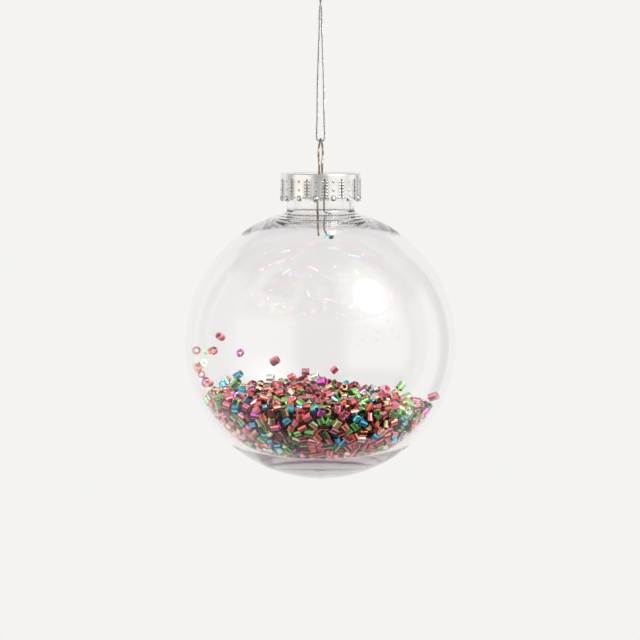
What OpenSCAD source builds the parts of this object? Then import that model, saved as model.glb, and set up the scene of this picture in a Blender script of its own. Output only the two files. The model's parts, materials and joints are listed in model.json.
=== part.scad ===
// Glass ball ornament: a clear glass ball part-filled with short tube beads, closed by a stamped
// metal cap, held by a sprung wire hanger and hung on a doubled twisted cord.
// Modelled about the ball's centre, then lowered so that the origin is the point where a hook
// holds the cord's top loop. +Z is up, the front is -Y. Millimetres.

/* [Ball] */
// Outside diameter of the glass ball
ball_d = 80; // [79:0.5:81]
// Glass thickness round the sides
wall = 1; // [0.8:0.1:1.2]
// Glass thickness at the bottom pole
base_wall = 2.5; // [2.2:0.1:2.8]
// Radius of the flatter inside face of the base
base_r = 46; // [45:1:50]

/* [Neck] */
// Outside diameter of the neck
neck_d = 19.8; // [19.6:0.1:20]
// Bore of the neck
bore_d = 17.2; // [17:0.1:17.4]
// Radius of the blend from the neck to the ball
neck_blend = 1.3; // [1:0.1:1.6]

/* [Cap] */
// Outside diameter of the cap's skirt
cap_d = 23.5; // [23.3:0.1:23.8]
// Thickness of the sheet
sheet = 0.45; // [0.4:0.05:0.5]
// Number of tabs round the skirt
tabs = 14; // [14]
// Width of the slit between two tabs
slit_w = 0.5; // [0.4:0.1:0.7]

/* [Hanger] */
// Wire diameter
wire_d = 0.6; // [0.5:0.1:0.6]
// Turn of the wire loop's plane away from the line of sight, in degrees
hanger_turn = 8.8; // [8:0.2:10]

/* [Cord] */
// Cord diameter
cord_d = 0.6; // [0.5:0.1:0.6]
// Diameter of the knot
knot_d = 2.7; // [2.6:0.1:3]

/* [Beads] */
// Outside diameter and length of a tube bead
bead_size = 2.2; // [2:0.1:2.3]
// Hole through a bead
bead_hole = 1.1; // [1:0.1:1.2]
// Height of the heap's crown, from the ball's centre
heap_top = -13.0; // [-14:0.1:-12]

/* [Hidden] */
$fn = 96;

// Heights from the ball's centre
hang_drop = 117.5;
neck_top = 49.5;
plate_z = 49.75;
skirt_z = 43.2;
slit_top = 48.7;
knot_z = 102.9;
knot_top = 106.1;

ball_r = ball_d / 2;
cavity_r = ball_r - wall;
neck_r = neck_d / 2;
bore_r = bore_d / 2;
cap_r = cap_d / 2;
tab_turn = 360 / tabs;
// The front slit stands a little to the right of the middle
slit_turn = 5.7;
over = 1;
lip_r = 1;
// The small mark at the bottom pole: its radius, and how far it stands out
pole_mark_r = 1;
pole_mark_out = 0.35;

// Scalloped edge of the cap: a lobe with a round boss in the middle and a lobe at each side
lobe_r = 1;
lobe_z = 42.85;
side_lobe_r = 0.72;
side_lobe_z = 43.1;
side_lobe_turn = 7.6;
boss_r = 0.75;
boss_z = 42.9;
boss_sink = 0.35;
// Holes in the cap for the wire's legs
wire_hole_r = 0.55;
wire_hole_out = 2.8;

// The beads keep this far from the glass, so that the heap can turn inside the ball
bead_gap = 0.3;
heap_r = ball_r - base_wall - bead_gap;
heap_dome_r = 120;
heap_dome_x = -6.6;
// Centres of the beads that cling to the glass, and the size of the two that the wire caught
wall_bead_r = 37;
wire_bead = 1.4;
wire_bead_hole = 0.9;

glass = [0.86, 0.90, 0.92, 0.35];
silver = [0.80, 0.80, 0.78];
steel = [0.66, 0.58, 0.46];
rose = [0.86, 0.36, 0.46];
red = [0.84, 0.22, 0.20];
green = [0.36, 0.74, 0.32];
gold = [0.93, 0.76, 0.42];
blue = [0.22, 0.66, 0.82];
magenta = [0.72, 0.20, 0.60];

// Loose beads: sideways place, height, side (-1 front, 1 back), turn and tilt in degrees
rose_beads = [[-28.7, 3.5, -1, -25, 70], [-36.1, -1.5, -1, 0, 90], [-34.6, -8.4, -1, 5, 85],
    [-32.3, -10.5, -1, -20, 80], [-13, -2.6, -1, 69, 60], [-4.6, -11.4, 1, 90, 90],
    [4.2, -10.8, 1, 90, 45], [-8.8, -12.9, 1, 80, 65], [33, -15.2, -1, 60, 70],
    [18.4, -11, -1, 25, 85]];
red_beads = [[-31, -0.8, -1, 20, 85], [-35.8, -6.7, -1, 10, 60]];
green_beads = [[-34.6, -3.2, 1, 15, 80], [-35.5, -6.8, 1, 30, 70], [-24.3, -9.7, -1, 50, 50],
    [22.9, -10.4, -1, 130, 45]];
gold_beads = [[-1.7, -12.8, 1, 75, 70], [-28.3, -12.8, 1, 80, 20]];
blue_beads = [[-25.1, -11.6, 1, 60, 60], [-27.8, -10, -1, 20, 70]];
magenta_beads = [[-23, -0.8, -1, 10, 75], [0.4, -8.5, -1, 60, 80], [-34.5, -12.1, 1, 35, 30]];
silver_beads = [[-14.3, -7.5, -1, 70, 85]];

// Cord: down one strand from the knot, under the wire, and back up the other
cord_route = [[0.31, 0, 102.9], [0.15, -0.3, 101], [-0.2, -0.26, 99], [-0.33, 0, 97],
    [-0.34, 0, 94.5], [-0.38, 0, 92], [-0.5, 0, 89], [-0.6, 0, 86], [-0.8, 0, 80], [-0.95, 0, 74],
    [-1, 0, 68], [-1.1, 0, 63.5], [-1.2, 0, 60.7], [-0.85, 0, 59.85], [0, 0, 59.5],
    [0.85, 0, 59.85], [1.2, 0, 60.7], [1.1, 0, 63.5], [1, 0, 68], [0.95, 0, 74], [0.8, 0, 80],
    [0.6, 0, 86], [0.5, 0, 89], [0.38, 0, 92], [0.34, 0, 94.5], [0.33, 0, 97],
    [0.2, 0.26, 99], [-0.15, 0.3, 101], [-0.31, 0, 102.9]];
// The loop above the knot, over whatever holds it
loop_route = [[-0.35, 0, 106.1], [-0.45, 0, 106.8], [-1.3, 0, 108.1], [-2.8, 0, 109.7],
    [-4, 0, 111.6], [-4.5, 0, 113.6], [-3.9, 0, 115.8], [-2.2, 0, 117.3], [0, 0, 117.8],
    [2.2, 0, 117.3], [3.9, 0, 115.8], [4.5, 0, 113.6], [4, 0, 111.6], [2.8, 0, 109.7],
    [1.3, 0, 108.1], [0.45, 0, 106.8], [0.35, 0, 106.1]];

// Wire, as [out of its plane, along its plane, height]
apex_r = 1.6;
apex_z = 58.6;
front_leg = [[0.3, -6, 32.8], [0.2, -6.5, 35.5], [0.15, -6.8, 38.5], [0.15, -6.8, 41.5],
    [0.1, -6.3, 44.4], [0, -4.9, 47.2], [0, -3.3, 48.7], [0, -2.8, 49.6]];
back_leg = [[0, 2.8, 49.6], [0, 3.3, 48.7], [0, 4.9, 47.2], [0, 6.3, 44.4], [0, 6.8, 41.5],
    [0, 6.8, 38.5], [0.1, 6.7, 36], [0.9, 6.3, 33.6], [1.1, 6.2, 32.8]];
loop_side = [[-2.8, 51], [-2.8, 52.4], [-3.1, 53.4], [-3.8, 54.6], [-4.2, 55.8], [-3.9, 57],
    [-3.05, 58.2], [-2.1, 59]];
apex_arc = [for (a = [-50:10:50]) [0, apex_r * sin(a), apex_z + apex_r * cos(a)]];
wire_route = concat(front_leg, [for (p = loop_side) [0, p[0], p[1]]], apex_arc,
    [for (i = [len(loop_side) - 1:-1:0]) [0, -loop_side[i][0], loop_side[i][1]]], back_leg);

// Smooth curve through the points, with count steps between neighbours
function bend(a, b, c, d, t) = 0.5 * (2 * b + (c - a) * t + (2 * a - 5 * b + 4 * c - d) * t * t
    + (3 * b - a - 3 * c + d) * t * t * t);
function smooth(p, count) = concat([for (i = [0:len(p) - 2]) for (k = [0:count - 1])
    bend(p[max(i - 1, 0)], p[i], p[i + 1], p[min(i + 2, len(p) - 1)], k / count)],
    [p[len(p) - 1]]);
function unit(v) = v / norm(v);
function heading(p, i) = unit(p[min(i + 1, len(p) - 1)] - p[max(i - 1, 0)]);

// A round tube along a path that stays near one plane; across is that plane's normal
module tube(path, d, sides, across) {
    rings = [for (i = [0:len(path) - 1]) let (t = heading(path, i), u = unit(cross(across, t)),
        v = cross(t, u)) for (k = [0:sides - 1])
        path[i] + d / 2 * (cos(360 * k / sides) * u + sin(360 * k / sides) * v)];
    last = (len(path) - 1) * sides;
    polyhedron(rings, concat(
        [[for (k = [sides - 1:-1:0]) k]],
        [for (i = [0:len(path) - 2]) for (k = [0:sides - 1])
            [i * sides + k, i * sides + (k + 1) % sides, (i + 1) * sides + (k + 1) % sides,
            (i + 1) * sides + k]],
        [[for (k = [0:sides - 1]) last + k]]));
}

module at_ball() {
    translate([0, 0, -hang_drop]) children();
}

// Concave blend from the neck's side to the ball; its arc runs a hair into both
module neck_blend_ring() {
    hair = 0.03;
    x = neck_r + neck_blend - hair;
    z = sqrt(pow(ball_r + neck_blend - hair, 2) - x * x);
    mid = (bore_r + neck_r) / 2;
    rotate_extrude() difference() {
        polygon([[mid, z], [x, z], [x * 0.95, z * 0.95], [mid, z * 0.95]]);
        translate([x, z]) circle(neck_blend);
    }
}

module rolled_lip() {
    rotate_extrude() translate([neck_r - 0.1, neck_top - lip_r]) circle(lip_r);
}

module cavity() {
    intersection() {
        sphere(cavity_r);
        translate([0, 0, base_wall - ball_r + base_r]) sphere(base_r);
    }
}

module glass_ball() {
    color(glass) at_ball() difference() {
        union() {
            sphere(ball_r);
            cylinder(h = neck_top - lip_r, r = neck_r);
            neck_blend_ring();
            rolled_lip();
            translate([0, 0, pole_mark_r - pole_mark_out - ball_r]) sphere(pole_mark_r);
        }
        cavity();
        cylinder(h = neck_top + over, r = bore_r);
    }
}

module cap_shell() {
    rotate_extrude() {
        translate([cap_r - sheet, skirt_z]) square([sheet, plate_z - skirt_z]);
        translate([0, plate_z]) square([cap_r - sheet, sheet]);
        intersection() {
            translate([cap_r - sheet, plate_z]) circle(sheet);
            translate([cap_r - sheet - over, plate_z]) square([over + sheet, sheet]);
        }
    }
}

// One round lobe of the scalloped edge, turned from its tab's middle
module lobe(turn, r, z) {
    rotate([0, 0, turn]) translate([0, -cap_r + 2 * sheet, z]) rotate([90, 0, 0])
        cylinder(h = 3 * sheet, r = r);
}

module scallops() {
    intersection() {
        rotate_extrude() translate([cap_r - sheet, skirt_z - 2]) square([sheet, 2.1]);
        for (i = [0:tabs - 1]) rotate([0, 0, slit_turn + (i + 0.5) * tab_turn]) {
            lobe(0, lobe_r, lobe_z);
            for (side = [-1, 1]) lobe(side * side_lobe_turn, side_lobe_r, side_lobe_z);
        }
    }
}

module cap() {
    color(silver) at_ball() {
        difference() {
            union() {
                cap_shell();
                scallops();
                for (i = [0:tabs - 1]) rotate([0, 0, slit_turn + (i + 0.5) * tab_turn])
                    translate([0, -cap_r + boss_sink, boss_z]) sphere(boss_r, $fn = 24);
            }
            cylinder(h = plate_z, r = cap_r - sheet);
            for (i = [0:tabs - 1]) rotate([0, 0, slit_turn + i * tab_turn])
                translate([-slit_w / 2, -cap_r - over, skirt_z - 2])
                    cube([slit_w, 2 * over + sheet, slit_top - skirt_z + 2]);
            for (side = [-1, 1]) rotate([0, 0, -hanger_turn])
                translate([0, side * wire_hole_out, plate_z - over])
                    cylinder(h = 2 * over + sheet, r = wire_hole_r, $fn = 24);
        }
    }
}

module wire_hanger() {
    color(steel) at_ball() rotate([0, 0, -hanger_turn])
        tube(smooth(wire_route, 2), wire_d, 10, [1, 0, 0]);
}

module hanging_cord() {
    color(silver) at_ball() tube(smooth(cord_route, 2), cord_d, 8, [0, 1, 0]);
}

module cord_top_loop() {
    color(silver) at_ball() tube(smooth(loop_route, 2), cord_d, 8, [0, 1, 0]);
}

module cord_knot() {
    color(silver) at_ball() intersection() {
        union() {
            translate([0, 0, knot_z + 1]) sphere(knot_d / 2);
            translate([0, 0, knot_top - 1]) sphere(knot_d / 2);
        }
        translate([-knot_d, -knot_d, knot_z]) cube([2 * knot_d, 2 * knot_d, knot_top - knot_z]);
    }
}

// Everything that the packed beads fill: flush with the ball below, gently domed on top
module bead_heap() {
    color(rose) at_ball() intersection() {
        sphere(heap_r);
        translate([heap_dome_x, 0, heap_top - heap_dome_r]) sphere(heap_dome_r);
    }
}

module tube_bead(size, hole) {
    difference() {
        cylinder(h = size, d = size, center = true, $fn = 32);
        cylinder(h = size + over, d = hole, center = true, $fn = 32);
    }
}

// Loose beads stand against the inside of the glass
module loose_beads(list) {
    at_ball() for (b = list)
        translate([b[0], b[2] * sqrt(max(0, pow(wall_bead_r, 2) - b[0] * b[0] - b[1] * b[1])), b[1]])
            rotate([b[4], 0, b[3]]) tube_bead(bead_size, bead_hole);
}

module loose_beads_rose() { color(rose) loose_beads(rose_beads); }
module loose_beads_red() { color(red) loose_beads(red_beads); }
module loose_beads_green() { color(green) loose_beads(green_beads); }
module loose_beads_gold() { color(gold) loose_beads(gold_beads); }
module loose_beads_blue() { color(blue) loose_beads(blue_beads); }
module loose_beads_magenta() { color(magenta) loose_beads(magenta_beads); }
module loose_beads_silver() { color(silver) loose_beads(silver_beads); }

// The wire's back leg ends inside this small bead
module wire_bead_blue() {
    color(blue) at_ball() translate([2, 6, 33.1]) rotate([0, -18, 0]) tube_bead(wire_bead, wire_bead_hole);
}

module wire_bead_green() {
    color(green) at_ball() translate([3.2, 4.9, 32]) rotate([40, 20, 0]) tube_bead(wire_bead, wire_bead_hole);
}

glass_ball();
cap();
wire_hanger();
hanging_cord();
cord_knot();
cord_top_loop();
bead_heap();
loose_beads_rose();
loose_beads_red();
loose_beads_green();
loose_beads_gold();
loose_beads_blue();
loose_beads_magenta();
loose_beads_silver();
wire_bead_blue();
wire_bead_green();
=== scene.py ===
"""Looks of the glass ball ornament: clear glass, packed tube beads, stamped cap, wire and cord.

Lengths in this file are millimetres from the ball's centre, +Z up and -Y the front, unless a
name ends in _M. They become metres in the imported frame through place() and mm().
"""

import json
import math

import bmesh
import bpy
import numpy as np
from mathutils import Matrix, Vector


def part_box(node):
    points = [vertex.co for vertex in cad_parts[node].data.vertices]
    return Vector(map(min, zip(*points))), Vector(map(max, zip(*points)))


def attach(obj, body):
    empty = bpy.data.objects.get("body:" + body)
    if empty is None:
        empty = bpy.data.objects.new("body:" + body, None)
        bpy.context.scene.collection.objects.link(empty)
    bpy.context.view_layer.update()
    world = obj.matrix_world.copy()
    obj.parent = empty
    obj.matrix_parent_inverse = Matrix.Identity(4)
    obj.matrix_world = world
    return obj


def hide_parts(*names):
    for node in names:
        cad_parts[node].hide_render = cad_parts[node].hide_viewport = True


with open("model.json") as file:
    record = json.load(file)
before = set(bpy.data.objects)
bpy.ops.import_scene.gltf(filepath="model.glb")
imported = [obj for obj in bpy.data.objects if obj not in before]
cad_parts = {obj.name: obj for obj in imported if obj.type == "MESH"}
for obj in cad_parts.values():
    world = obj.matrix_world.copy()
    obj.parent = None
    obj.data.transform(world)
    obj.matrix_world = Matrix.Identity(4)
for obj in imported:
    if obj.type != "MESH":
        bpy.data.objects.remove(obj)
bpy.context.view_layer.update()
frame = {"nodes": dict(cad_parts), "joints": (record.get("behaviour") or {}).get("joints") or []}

JOINTS = {joint["name"]: joint for joint in frame["joints"]}
CENTRE_M = np.array(JOINTS["bead_slosh"]["pos_m"])
KNOT_Z = (JOINTS["cord_twist"]["pos_m"][2] - CENTRE_M[2]) * 1000
APEX_Z = (JOINTS["ornament_swing"]["pos_m"][2] - CENTRE_M[2]) * 1000
SWING_AXIS = JOINTS["ornament_swing"]["axis"]
HANGER_TURN = math.atan2(-SWING_AXIS[1], SWING_AXIS[0])
BALL_R = (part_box("glass_ball")[1].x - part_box("glass_ball")[0].x) * 500
RNG = np.random.default_rng(7)


def mm(points):
    """Millimetres about the ball's centre to metres in the frame."""
    return np.asarray(points, float) / 1000 + CENTRE_M


def place(x, y, z):
    return tuple(mm((x, y, z)))


def in_hanger_plane(out, along):
    """Sideways and depth of a point given out of and along the wire loop's plane."""
    c, s = math.cos(HANGER_TURN), math.sin(HANGER_TURN)
    return out * c + along * s, along * c - out * s


# ---------------------------------------------------------------- camera and room

CAMERA_FAR = 1200
CAMERA_UP = 86
VIEW_WIDTH = 188.9
VIEW_MID = (-0.2, 0, 6.8)
SENSOR = 36
PAPER = (0.904, 0.896, 0.879)


def add_object(name, data):
    thing = bpy.data.objects.new(name, data)
    bpy.context.scene.collection.objects.link(thing)
    return thing


def make_camera():
    data = bpy.data.cameras.new("camera")
    camera = add_object("camera", data)
    eye = Vector(place(VIEW_MID[0], -CAMERA_FAR, CAMERA_UP))
    aim = Vector(place(*VIEW_MID))
    camera.location = eye
    camera.rotation_euler = (aim - eye).to_track_quat("-Z", "Y").to_euler()
    data.sensor_width = SENSOR
    data.lens = SENSOR * (aim - eye).length * 1000 / VIEW_WIDTH
    data.clip_start = 0.01
    data.clip_end = 20
    bpy.context.scene.camera = camera


def link_mesh(name, points_m, faces, smooth=True):
    """A new object in the scene, from points in metres."""
    mesh = bpy.data.meshes.new(name)
    mesh.from_pydata([tuple(p) for p in points_m], [], faces)
    mesh.update()
    if smooth:
        mesh.polygons.foreach_set("use_smooth", [True] * len(mesh.polygons))
    return add_object(name, mesh)


def feed(links, socket, value):
    """Give an input another node's output, a number or a colour."""
    if isinstance(value, bpy.types.NodeSocket):
        links.new(value, socket)
    else:
        socket.default_value = value


def calc(nodes, links, operation, *values):
    """A Math node's result."""
    node = nodes.new("ShaderNodeMath")
    node.operation = operation
    for socket, value in zip(node.inputs, values):
        feed(links, socket, value)
    return node.outputs[0]


def mix_colours(nodes, links, share, first, second, blend="MIX"):
    """The first colour where the share is 0, the second, or its product, where it is 1."""
    mix = nodes.new("ShaderNodeMix")
    mix.data_type = "RGBA"
    mix.blend_type = blend
    feed(links, mix.inputs["Factor"], share)
    feed(links, mix.inputs["A"], first)
    feed(links, mix.inputs["B"], second)
    return mix.outputs["Result"]


def mix_shaders(nodes, links, share, first, second):
    """The first shader where the share is 0, the second where it is 1."""
    mix = nodes.new("ShaderNodeMixShader")
    for socket, source in zip(mix.inputs, (share, first, second)):
        links.new(source, socket)
    return mix.outputs[0]


def band(nodes, links, value, low, high, soft):
    """1 where the value is between low and high, fading out over soft at both ends."""
    sides = []
    for start, end in ((low - soft / 2, low + soft / 2), (high + soft / 2, high - soft / 2)):
        fade = nodes.new("ShaderNodeMapRange")
        fade.interpolation_type = "SMOOTHSTEP"
        fade.inputs["From Min"].default_value = start
        fade.inputs["From Max"].default_value = end
        links.new(value, fade.inputs["Value"])
        sides.append(fade.outputs["Result"])
    return calc(nodes, links, "MULTIPLY", *sides)


# The studio round the ornament, as patches of light: azimuth from straight behind the ornament
# towards its right, elevation, softness of the edges (all in degrees) and colour
WALLS = (0.50, 0.50, 0.51)
STUDIO = [
    ((-69, 40), (-60, 33), 5, PAPER),
    ((-155, -95), (-25, 60), 16, (1.15, 1.11, 1.02)),
    ((96, 160), (-30, 70), 16, (1.06, 1.06, 1.04)),
    ((58, 92), (-40, 25), 10, (1.06, 1.06, 1.06)),
    ((-180, -164), (-16, 22), 8, (0.48, 0.48, 0.48)),
    ((166, 180), (-16, 22), 8, (0.48, 0.48, 0.48)),
    ((-150, -112), (40, 60), 4, (0.30, 0.30, 0.30)),
    ((-180, -100), (-90, -24), 12, (0.16, 0.15, 0.16)),
    ((100, 180), (-90, -18), 12, (0.08, 0.07, 0.08)),
    ((70, 130), (-84, -46), 14, (0.01, 0.01, 0.01)),
]
# The round key light: where it hangs, how far its core and its glow reach (degrees), how bright
KEY_TOWARD = (0.632, -0.452, 0.629)
KEY_COLOUR = (1, 0.99, 0.97, 1)
KEY_CORE = 11
KEY_EDGE = 9
KEY_STRENGTH = 16
GLOW_MIDDLE = 17
GLOW_EDGE = 34
GLOW_STRENGTH = 2.4
# The low end of a band that has none, since an angle is never below 0
NO_LOW_EDGE = -99


def studio_colour(nodes, links, toward):
    """Colour of the studio in a direction: the walls with every patch laid over them."""
    split = nodes.new("ShaderNodeSeparateXYZ")
    links.new(toward, split.inputs[0])
    right, back, up = split.outputs
    azimuth = calc(nodes, links, "DEGREES", calc(nodes, links, "ARCTAN2", right, back))
    elevation = calc(nodes, links, "DEGREES", calc(nodes, links, "ARCSINE", up))
    light = nodes.new("ShaderNodeRGB").outputs[0]
    light.default_value = (*WALLS, 1)
    for across, height, soft, colour in STUDIO:
        mask = calc(nodes, links, "MULTIPLY", band(nodes, links, azimuth, *across, soft),
                    band(nodes, links, elevation, *height, soft))
        light = mix_colours(nodes, links, mask, light, (*colour, 1))
    return light


def key_light(nodes, links, toward):
    """The key light, as a background shader: a bright round core in a wide glow."""
    along = nodes.new("ShaderNodeVectorMath")
    along.operation = "DOT_PRODUCT"
    along.inputs[1].default_value = Vector(KEY_TOWARD).normalized()
    links.new(toward, along.inputs[0])
    angle = calc(nodes, links, "DEGREES", calc(nodes, links, "ARCCOSINE", along.outputs["Value"]))
    core = band(nodes, links, angle, NO_LOW_EDGE, KEY_CORE, KEY_EDGE)
    glow = band(nodes, links, angle, NO_LOW_EDGE, GLOW_MIDDLE, GLOW_EDGE)
    strength = calc(nodes, links, "ADD", calc(nodes, links, "MULTIPLY", core, KEY_STRENGTH),
                    calc(nodes, links, "MULTIPLY", glow, GLOW_STRENGTH))
    key = nodes.new("ShaderNodeBackground")
    key.inputs["Color"].default_value = KEY_COLOUR
    links.new(strength, key.inputs["Strength"])
    return key.outputs[0]


def seen_directly(nodes, links):
    """1 for the camera's rays, and for rays that only went through glass on their way."""
    path = nodes.new("ShaderNodeLightPath").outputs
    turned = calc(nodes, links, "SUBTRACT", path["Ray Depth"], path["Transmission Depth"])
    straight = calc(nodes, links, "MULTIPLY", path["Is Transmission Ray"],
                    calc(nodes, links, "LESS_THAN", turned, 0.5))
    return calc(nodes, links, "MAXIMUM", path["Is Camera Ray"], straight)


def make_world():
    """An even pale surround to look at; reflections and light come from the studio's patches."""
    world = bpy.data.worlds.new("surround")
    bpy.context.scene.world = world
    world.use_nodes = True
    nodes, links = world.node_tree.nodes, world.node_tree.links
    toward = nodes.new("ShaderNodeTexCoord").outputs["Generated"]
    room = nodes.new("ShaderNodeBackground")
    links.new(studio_colour(nodes, links, toward), room.inputs["Color"])
    lit = nodes.new("ShaderNodeAddShader")
    links.new(key_light(nodes, links, toward), lit.inputs[0])
    links.new(room.outputs[0], lit.inputs[1])
    seen = nodes["Background"]
    seen.inputs["Color"].default_value = (*PAPER, 1)
    surface = mix_shaders(nodes, links, seen_directly(nodes, links), lit.outputs[0],
                          seen.outputs[0])
    links.new(surface, nodes["World Output"].inputs["Surface"])


FLOOR_R = 1150
FLOOR_Z = -520
FLOOR_SIDES = 96
FLOOR_COLOUR = (0.72, 0.715, 0.70, 1)


def make_floor():
    """A pale floor well below the ornament, wide enough for every view from above."""
    ring = [(FLOOR_R * math.cos(a), FLOOR_R * math.sin(a), FLOOR_Z)
            for a in np.linspace(0, 2 * math.pi, FLOOR_SIDES, endpoint=False)]
    floor = link_mesh("floor", mm(ring), [tuple(range(FLOOR_SIDES))], smooth=False)
    material, _, _, shader = base_material("floor_paint")
    set_values(shader, Base_Color=FLOOR_COLOUR, Roughness=0.9)
    floor.data.materials.append(material)
    # Seen in the glass or the beads it would turn the heap's dark gaps grey
    floor.visible_glossy = False
    floor.visible_transmission = False


# ---------------------------------------------------------------- curves and tubes

# How far each ring of a tube's domed end stands out, in radii
END_DOME = (0.98, 0.75, 0.4)
CURVE_STEPS = 8


def curve_through(points, count):
    """Catmull-Rom curve through the points, as the CAD model bends its tubes."""
    p = np.asarray(points, float)
    last = len(p) - 1
    out = []
    for i in range(last):
        a, b, c, d = p[max(i - 1, 0)], p[i], p[i + 1], p[min(i + 2, last)]
        for k in range(count):
            t = k / count
            out.append(0.5 * (2 * b + (c - a) * t + (2 * a - 5 * b + 4 * c - d) * t * t
                              + (3 * b - a - 3 * c + d) * t ** 3))
    return np.array(out + [p[-1]])


def even(path, step):
    """The path again, with points a step apart."""
    seg = np.linalg.norm(np.diff(path, axis=0), axis=1)
    along = np.concatenate([[0], np.cumsum(seg)])
    count = max(2, int(round(along[-1] / step)) + 1)
    at = np.linspace(0, along[-1], count)
    return np.stack([np.interp(at, along, path[:, k]) for k in range(3)], axis=1)


def unit(v):
    return v / np.maximum(np.linalg.norm(v, axis=-1, keepdims=True), 1e-12)


def frames(path):
    """Tangent and two steady cross directions at each point, carried along without twist."""
    tangent = unit(np.gradient(path, axis=0))
    first = np.array([0.0, 1, 0]) if abs(tangent[0][1]) < 0.9 else np.array([1.0, 0, 0])
    u = np.zeros_like(path)
    u[0] = unit(np.cross(first, tangent[0]))
    for i in range(1, len(path)):
        u[i] = unit(u[i - 1] - tangent[i] * (u[i - 1] @ tangent[i]))
    return tangent, u, np.cross(tangent, u)


def tube_mesh(path, radius, sides, round_ends=True):
    """Points and faces of a closed tube along the path, with domed ends if asked for."""
    tangent, u, v = frames(path)
    centres = path
    radii = np.full(len(path), float(radius))
    if round_ends:
        lift = radius * np.array(END_DOME)
        scale = np.sqrt(np.maximum(1 - (lift / radius) ** 2, 0.02))
        head = [path[0] - tangent[0] * h for h in lift]
        tail = [path[-1] + tangent[-1] * h for h in lift[::-1]]
        centres = np.concatenate([head, path, tail])
        radii = np.concatenate([radius * scale, radii, radius * scale[::-1]])
        u = np.concatenate([[u[0]] * len(lift), u, [u[-1]] * len(lift)])
        v = np.concatenate([[v[0]] * len(lift), v, [v[-1]] * len(lift)])
    turn = np.linspace(0, 2 * math.pi, sides, endpoint=False)
    across = np.cos(turn)[None, :, None] * u[:, None] + np.sin(turn)[None, :, None] * v[:, None]
    points = (centres[:, None] + radii[:, None, None] * across).reshape(-1, 3)
    faces = [(i * sides + k, i * sides + (k + 1) % sides, (i + 1) * sides + (k + 1) % sides,
              (i + 1) * sides + k) for i in range(len(centres) - 1) for k in range(sides)]
    faces.append(tuple(range(sides - 1, -1, -1)))
    faces.append(tuple((len(centres) - 1) * sides + k for k in range(sides)))
    return points, faces


def join(parts):
    """Several (points, faces) as one."""
    points, faces, base = [], [], 0
    for some, those in parts:
        points.append(some)
        faces += [tuple(base + k for k in face) for face in those]
        base += len(some)
    return np.concatenate(points), faces


# ---------------------------------------------------------------- materials


def base_material(name):
    material = bpy.data.materials.new(name)
    material.use_nodes = True
    tree = material.node_tree
    return material, tree.nodes, tree.links, tree.nodes["Principled BSDF"]


def set_values(shader, **values):
    """Set inputs of a shader by name, with _ for each space."""
    for name, value in values.items():
        shader.inputs[name.replace("_", " ")].default_value = value


def noise(nodes, links, scale, detail=3):
    coords = nodes.new("ShaderNodeTexCoord").outputs["Object"]
    texture = nodes.new("ShaderNodeTexNoise")
    texture.inputs["Scale"].default_value = scale
    texture.inputs["Detail"].default_value = detail
    links.new(coords, texture.inputs["Vector"])
    return texture.outputs["Fac"]


def ramp(nodes, links, source, *stops):
    """Colour ramp with stops given as (place, colour)."""
    node = nodes.new("ShaderNodeValToRGB")
    links.new(source, node.inputs["Fac"])
    elements = node.color_ramp.elements
    while len(elements) < len(stops):
        elements.new(0.5)
    for element, (at, colour) in zip(elements, stops):
        element.position = at
        element.color = (*colour, 1) if len(colour) == 3 else colour
    return node.outputs["Color"]


def spread(nodes, links, source, low, high):
    """Noise, which lies mostly between 0.3 and 0.7, as values from low to high."""
    node = nodes.new("ShaderNodeMapRange")
    links.new(source, node.inputs["Value"])
    node.inputs["From Min"].default_value = 0.3
    node.inputs["From Max"].default_value = 0.7
    node.inputs["To Min"].default_value = low
    node.inputs["To Max"].default_value = high
    return node.outputs["Result"]


def bump(nodes, links, shader, source, distance_m, strength):
    node = nodes.new("ShaderNodeBump")
    node.inputs["Distance"].default_value = distance_m
    node.inputs["Strength"].default_value = strength
    links.new(source, node.inputs["Height"])
    links.new(node.outputs["Normal"], shader.inputs["Normal"])


def dust_on(nodes, links, shader):
    """The shader with a few pale specks of dust over it."""
    specks = nodes.new("ShaderNodeTexVoronoi")
    specks.inputs["Scale"].default_value = 95
    links.new(nodes.new("ShaderNodeTexCoord").outputs["Object"], specks.inputs["Vector"])
    dust = ramp(nodes, links, specks.outputs["Distance"],
                (0.0, (0.5, 0.5, 0.5)), (0.035, (0.0, 0.0, 0.0)))
    lint = nodes.new("ShaderNodeBsdfDiffuse")
    lint.inputs["Color"].default_value = (0.8, 0.79, 0.78, 1)
    return mix_shaders(nodes, links, dust, shader.outputs[0], lint.outputs[0])


def glass_material():
    """Clear glass with a faint tint in its depth, which lets the light in on the beads."""
    material, nodes, links, shader = base_material("clear_glass")
    set_values(shader, Base_Color=(0.998, 0.995, 0.998, 1), Roughness=0.0, IOR=1.5,
               Transmission_Weight=1.0)
    dusty = dust_on(nodes, links, shader)
    lamp = nodes.new("ShaderNodeLightPath")
    clear = nodes.new("ShaderNodeBsdfTransparent")
    clear.inputs["Color"].default_value = (0.93, 0.93, 0.93, 1)
    surface = mix_shaders(nodes, links, lamp.outputs["Is Shadow Ray"], dusty, clear.outputs[0])
    links.new(surface, nodes["Material Output"].inputs["Surface"])
    depth = nodes.new("ShaderNodeVolumeAbsorption")
    depth.inputs["Color"].default_value = (0.54, 0.49, 0.53, 1)
    depth.inputs["Density"].default_value = 24
    links.new(depth.outputs[0], nodes["Material Output"].inputs["Volume"])
    return material


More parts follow.
